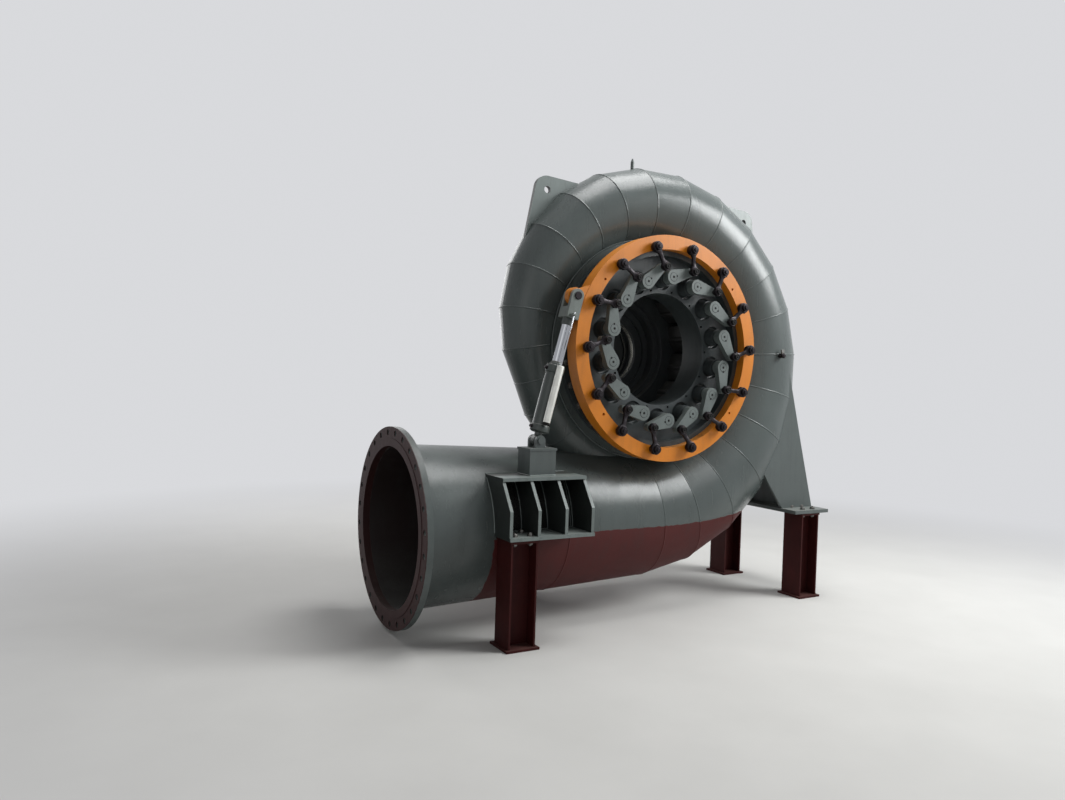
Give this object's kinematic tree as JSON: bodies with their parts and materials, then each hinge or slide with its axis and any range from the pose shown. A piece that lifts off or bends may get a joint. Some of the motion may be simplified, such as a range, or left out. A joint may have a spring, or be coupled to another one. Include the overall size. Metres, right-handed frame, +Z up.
{
  "type": "Francis turbine spiral case with guide-vane gear",
  "caption": "Spiral case of a horizontal-shaft Francis turbine on steel legs, with regulating ring, guide vanes, links and a hydraulic servomotor.",
  "frame": {"origin": "on the floor, in the middle of the part's footprint", "axes": "+Z up, +X the way the water enters through the inlet pipe, the shaft along Y with the guide-vane gear facing -Y"},
  "size_m": [3.317, 1.391, 3.1603],
  "materials": {
    "case_paint": "semi-gloss grey paint over welded plate",
    "cover_paint": "satin dark grey paint on machined castings",
    "ring_paint": "satin orange-yellow paint",
    "lever_paint": "satin light grey paint",
    "primer": "matt red-brown primer",
    "black_steel": "blackened steel",
    "rod_chrome": "polished chromed rod",
    "sensor_alu": "satin aluminium tube"
  },
  "bodies": {
    "case": {"inlet_flange": "primer", "inlet_pipe": "case_paint", "spiral_inlet": "case_paint", "spiral_case": "case_paint", "stay_ring": "case_paint", "front_cover": "cover_paint", "rear_cover": "cover_paint", "servo_bracket": "case_paint", "servo_pedestal": "case_paint", "rear_bracket": "case_paint", "right_foot": "case_paint", "legs": "primer", "lifting_lugs": "case_paint", "air_vent": "case_paint", "drain_cock": "black_steel"},
    "regulating_ring": {"regulating_ring": "ring_paint"},
    "servo_cylinder": {"servo_cylinder": "cover_paint", "position_sensor": "sensor_alu"},
    "servo_rod": {"servo_rod": "rod_chrome"},
    "guide_vane_01": {"guide_vane_01": "lever_paint"},
    "link_01": {"link_01": "black_steel"},
    "guide_vane_02": {"guide_vane_02": "lever_paint"},
    "link_02": {"link_02": "black_steel"},
    "guide_vane_03": {"guide_vane_03": "lever_paint"},
    "link_03": {"link_03": "black_steel"},
    "guide_vane_04": {"guide_vane_04": "lever_paint"},
    "link_04": {"link_04": "black_steel"},
    "guide_vane_05": {"guide_vane_05": "lever_paint"},
    "link_05": {"link_05": "black_steel"},
    "guide_vane_06": {"guide_vane_06": "lever_paint"},
    "link_06": {"link_06": "black_steel"},
    "guide_vane_07": {"guide_vane_07": "lever_paint"},
    "link_07": {"link_07": "black_steel"},
    "guide_vane_08": {"guide_vane_08": "lever_paint"},
    "link_08": {"link_08": "black_steel"},
    "guide_vane_09": {"guide_vane_09": "lever_paint"},
    "link_09": {"link_09": "black_steel"},
    "guide_vane_10": {"guide_vane_10": "lever_paint"},
    "link_10": {"link_10": "black_steel"},
    "guide_vane_11": {"guide_vane_11": "lever_paint"},
    "link_11": {"link_11": "black_steel"},
    "guide_vane_12": {"guide_vane_12": "lever_paint"},
    "link_12": {"link_12": "black_steel"},
    "guide_vane_13": {"guide_vane_13": "lever_paint"},
    "link_13": {"link_13": "black_steel"},
    "guide_vane_14": {"guide_vane_14": "lever_paint"},
    "link_14": {"link_14": "black_steel"}
  },
  "joints": [
    {"name": "ring_turn", "type": "hinge", "parent": "case", "child": "regulating_ring", "pos_m": [0.1185, -0.404, 1.8], "axis": [0, 1, 0], "range_deg": [-10, 0]},
    {"name": "vane_01_turn", "type": "hinge", "parent": "case", "child": "guide_vane_01", "pos_m": [0.1185, -0.3, 2.28], "axis": [0, 1, 0], "range_deg": [-23, 0]},
    {"name": "link_01_turn", "type": "hinge", "parent": "regulating_ring", "child": "link_01", "pos_m": [0.24708, -0.485, 2.46773], "axis": [0, 1, 0], "range_deg": [-30, 0]},
    {"name": "vane_02_turn", "type": "hinge", "parent": "case", "child": "guide_vane_02", "pos_m": [0.32676, -0.3, 2.23247], "axis": [0, 1, 0], "range_deg": [-23, 0]},
    {"name": "link_02_turn", "type": "hinge", "parent": "regulating_ring", "child": "link_02", "pos_m": [0.52407, -0.485, 2.34581], "axis": [0, 1, 0], "range_deg": [-30, 0]},
    {"name": "vane_03_turn", "type": "hinge", "parent": "case", "child": "guide_vane_03", "pos_m": [0.49378, -0.3, 2.09928], "axis": [0, 1, 0], "range_deg": [-23, 0]},
    {"name": "link_03_turn", "type": "hinge", "parent": "regulating_ring", "child": "link_03", "pos_m": [0.72073, -0.485, 2.11579], "axis": [0, 1, 0], "range_deg": [-30, 0]},
    {"name": "vane_04_turn", "type": "hinge", "parent": "case", "child": "guide_vane_04", "pos_m": [0.58647, -0.3, 1.90681], "axis": [0, 1, 0], "range_deg": [-23, 0]},
    {"name": "link_04_turn", "type": "hinge", "parent": "regulating_ring", "child": "link_04", "pos_m": [0.7981, -0.485, 1.82322], "axis": [0, 1, 0], "range_deg": [-30, 0]},
    {"name": "vane_05_turn", "type": "hinge", "parent": "case", "child": "guide_vane_05", "pos_m": [0.58647, -0.3, 1.69319], "axis": [0, 1, 0], "range_deg": [-23, 0]},
    {"name": "link_05_turn", "type": "hinge", "parent": "regulating_ring", "child": "link_05", "pos_m": [0.74088, -0.485, 1.52605], "axis": [0, 1, 0], "range_deg": [-30, 0]},
    {"name": "vane_06_turn", "type": "hinge", "parent": "case", "child": "guide_vane_06", "pos_m": [0.49378, -0.3, 1.50072], "axis": [0, 1, 0], "range_deg": [-23, 0]},
    {"name": "link_06_turn", "type": "hinge", "parent": "regulating_ring", "child": "link_06", "pos_m": [0.56038, -0.485, 1.28314], "axis": [0, 1, 0], "range_deg": [-30, 0]},
    {"name": "vane_07_turn", "type": "hinge", "parent": "case", "child": "guide_vane_07", "pos_m": [0.32676, -0.3, 1.36753], "axis": [0, 1, 0], "range_deg": [-23, 0]},
    {"name": "link_07_turn", "type": "hinge", "parent": "regulating_ring", "child": "link_07", "pos_m": [0.29237, -0.485, 1.1426], "axis": [0, 1, 0], "range_deg": [-30, 0]},
    {"name": "vane_08_turn", "type": "hinge", "parent": "case", "child": "guide_vane_08", "pos_m": [0.1185, -0.3, 1.32], "axis": [0, 1, 0], "range_deg": [-23, 0]},
    {"name": "link_08_turn", "type": "hinge", "parent": "regulating_ring", "child": "link_08", "pos_m": [-0.01008, -0.485, 1.13227], "axis": [0, 1, 0], "range_deg": [-30, 0]},
    {"name": "vane_09_turn", "type": "hinge", "parent": "case", "child": "guide_vane_09", "pos_m": [-0.08976, -0.3, 1.36753], "axis": [0, 1, 0], "range_deg": [-23, 0]},
    {"name": "link_09_turn", "type": "hinge", "parent": "regulating_ring", "child": "link_09", "pos_m": [-0.28707, -0.485, 1.25419], "axis": [0, 1, 0], "range_deg": [-30, 0]},
    {"name": "vane_10_turn", "type": "hinge", "parent": "case", "child": "guide_vane_10", "pos_m": [-0.25678, -0.3, 1.50072], "axis": [0, 1, 0], "range_deg": [-23, 0]},
    {"name": "link_10_turn", "type": "hinge", "parent": "regulating_ring", "child": "link_10", "pos_m": [-0.48373, -0.485, 1.48421], "axis": [0, 1, 0], "range_deg": [-30, 0]},
    {"name": "vane_11_turn", "type": "hinge", "parent": "case", "child": "guide_vane_11", "pos_m": [-0.34947, -0.3, 1.69319], "axis": [0, 1, 0], "range_deg": [-23, 0]},
    {"name": "link_11_turn", "type": "hinge", "parent": "regulating_ring", "child": "link_11", "pos_m": [-0.5611, -0.485, 1.77678], "axis": [0, 1, 0], "range_deg": [-30, 0]},
    {"name": "vane_12_turn", "type": "hinge", "parent": "case", "child": "guide_vane_12", "pos_m": [-0.34947, -0.3, 1.90681], "axis": [0, 1, 0], "range_deg": [-23, 0]},
    {"name": "link_12_turn", "type": "hinge", "parent": "regulating_ring", "child": "link_12", "pos_m": [-0.50388, -0.485, 2.07395], "axis": [0, 1, 0], "range_deg": [-30, 0]},
    {"name": "vane_13_turn", "type": "hinge", "parent": "case", "child": "guide_vane_13", "pos_m": [-0.25678, -0.3, 2.09928], "axis": [0, 1, 0], "range_deg": [-23, 0]},
    {"name": "link_13_turn", "type": "hinge", "parent": "regulating_ring", "child": "link_13", "pos_m": [-0.32338, -0.485, 2.31686], "axis": [0, 1, 0], "range_deg": [-30, 0]},
    {"name": "vane_14_turn", "type": "hinge", "parent": "case", "child": "guide_vane_14", "pos_m": [-0.08976, -0.3, 2.23247], "axis": [0, 1, 0], "range_deg": [-23, 0]},
    {"name": "link_14_turn", "type": "hinge", "parent": "regulating_ring", "child": "link_14", "pos_m": [-0.05537, -0.485, 2.4574], "axis": [0, 1, 0], "range_deg": [-30, 0]},
    {"name": "servo_swing", "type": "hinge", "parent": "case", "child": "servo_cylinder", "pos_m": [-0.8815, -0.43, 1.192], "axis": [0, 1, 0], "range_deg": [-0.5, 0]},
    {"name": "rod_stroke", "type": "slide", "parent": "servo_cylinder", "child": "servo_rod", "axis": [0.2511, 0, 0.968], "range_m": [-0.145, 0]}
  ],
  "couplings": [
    {"joint": "vane_01_turn", "follows": "ring_turn", "ratio": 2.28},
    {"joint": "link_01_turn", "follows": "ring_turn", "ratio": 2.968},
    {"joint": "vane_02_turn", "follows": "ring_turn", "ratio": 2.28},
    {"joint": "link_02_turn", "follows": "ring_turn", "ratio": 2.968},
    {"joint": "vane_03_turn", "follows": "ring_turn", "ratio": 2.28},
    {"joint": "link_03_turn", "follows": "ring_turn", "ratio": 2.968},
    {"joint": "vane_04_turn", "follows": "ring_turn", "ratio": 2.28},
    {"joint": "link_04_turn", "follows": "ring_turn", "ratio": 2.968},
    {"joint": "vane_05_turn", "follows": "ring_turn", "ratio": 2.28},
    {"joint": "link_05_turn", "follows": "ring_turn", "ratio": 2.968},
    {"joint": "vane_06_turn", "follows": "ring_turn", "ratio": 2.28},
    {"joint": "link_06_turn", "follows": "ring_turn", "ratio": 2.968},
    {"joint": "vane_07_turn", "follows": "ring_turn", "ratio": 2.28},
    {"joint": "link_07_turn", "follows": "ring_turn", "ratio": 2.968},
    {"joint": "vane_08_turn", "follows": "ring_turn", "ratio": 2.28},
    {"joint": "link_08_turn", "follows": "ring_turn", "ratio": 2.968},
    {"joint": "vane_09_turn", "follows": "ring_turn", "ratio": 2.28},
    {"joint": "link_09_turn", "follows": "ring_turn", "ratio": 2.968},
    {"joint": "vane_10_turn", "follows": "ring_turn", "ratio": 2.28},
    {"joint": "link_10_turn", "follows": "ring_turn", "ratio": 2.968},
    {"joint": "vane_11_turn", "follows": "ring_turn", "ratio": 2.28},
    {"joint": "link_11_turn", "follows": "ring_turn", "ratio": 2.968},
    {"joint": "vane_12_turn", "follows": "ring_turn", "ratio": 2.28},
    {"joint": "link_12_turn", "follows": "ring_turn", "ratio": 2.968},
    {"joint": "vane_13_turn", "follows": "ring_turn", "ratio": 2.28},
    {"joint": "link_13_turn", "follows": "ring_turn", "ratio": 2.968},
    {"joint": "vane_14_turn", "follows": "ring_turn", "ratio": 2.28},
    {"joint": "link_14_turn", "follows": "ring_turn", "ratio": 2.968},
    {"joint": "servo_swing", "follows": "ring_turn", "ratio": 0.0356},
    {"joint": "rod_stroke", "follows": "ring_turn", "m_per_rad": 0.81846}
  ]
}
